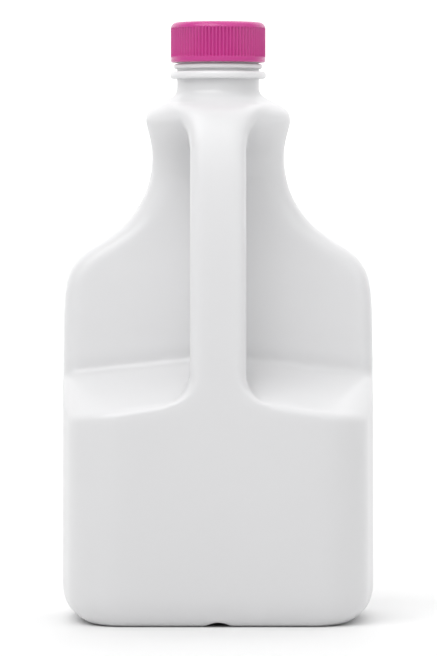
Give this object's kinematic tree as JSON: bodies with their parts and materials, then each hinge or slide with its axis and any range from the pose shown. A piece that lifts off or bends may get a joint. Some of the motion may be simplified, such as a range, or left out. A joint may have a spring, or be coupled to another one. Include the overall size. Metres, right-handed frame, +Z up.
{
  "type": "plastic milk jug",
  "caption": "Opaque white half-gallon milk jug with a moulded front grip bar over a recessed wall, round collar, ringed neck and ribbed magenta screw cap.",
  "frame": {"origin": "on the surface the jug stands on, under the middle of its footprint, which is also the axis of the neck", "axes": "+Z up, -Y towards the handle side (the front), +X to the right as seen from the front"},
  "size_m": [0.1358, 0.1, 0.2593],
  "materials": {
    "jug_plastic": "satin blow-moulded high-density polyethylene, opaque white",
    "cap_plastic": "satin injection-moulded polypropylene, magenta"
  },
  "bodies": {
    "root": {"jug": "jug_plastic", "cap": "cap_plastic"}
  },
  "joints": []
}
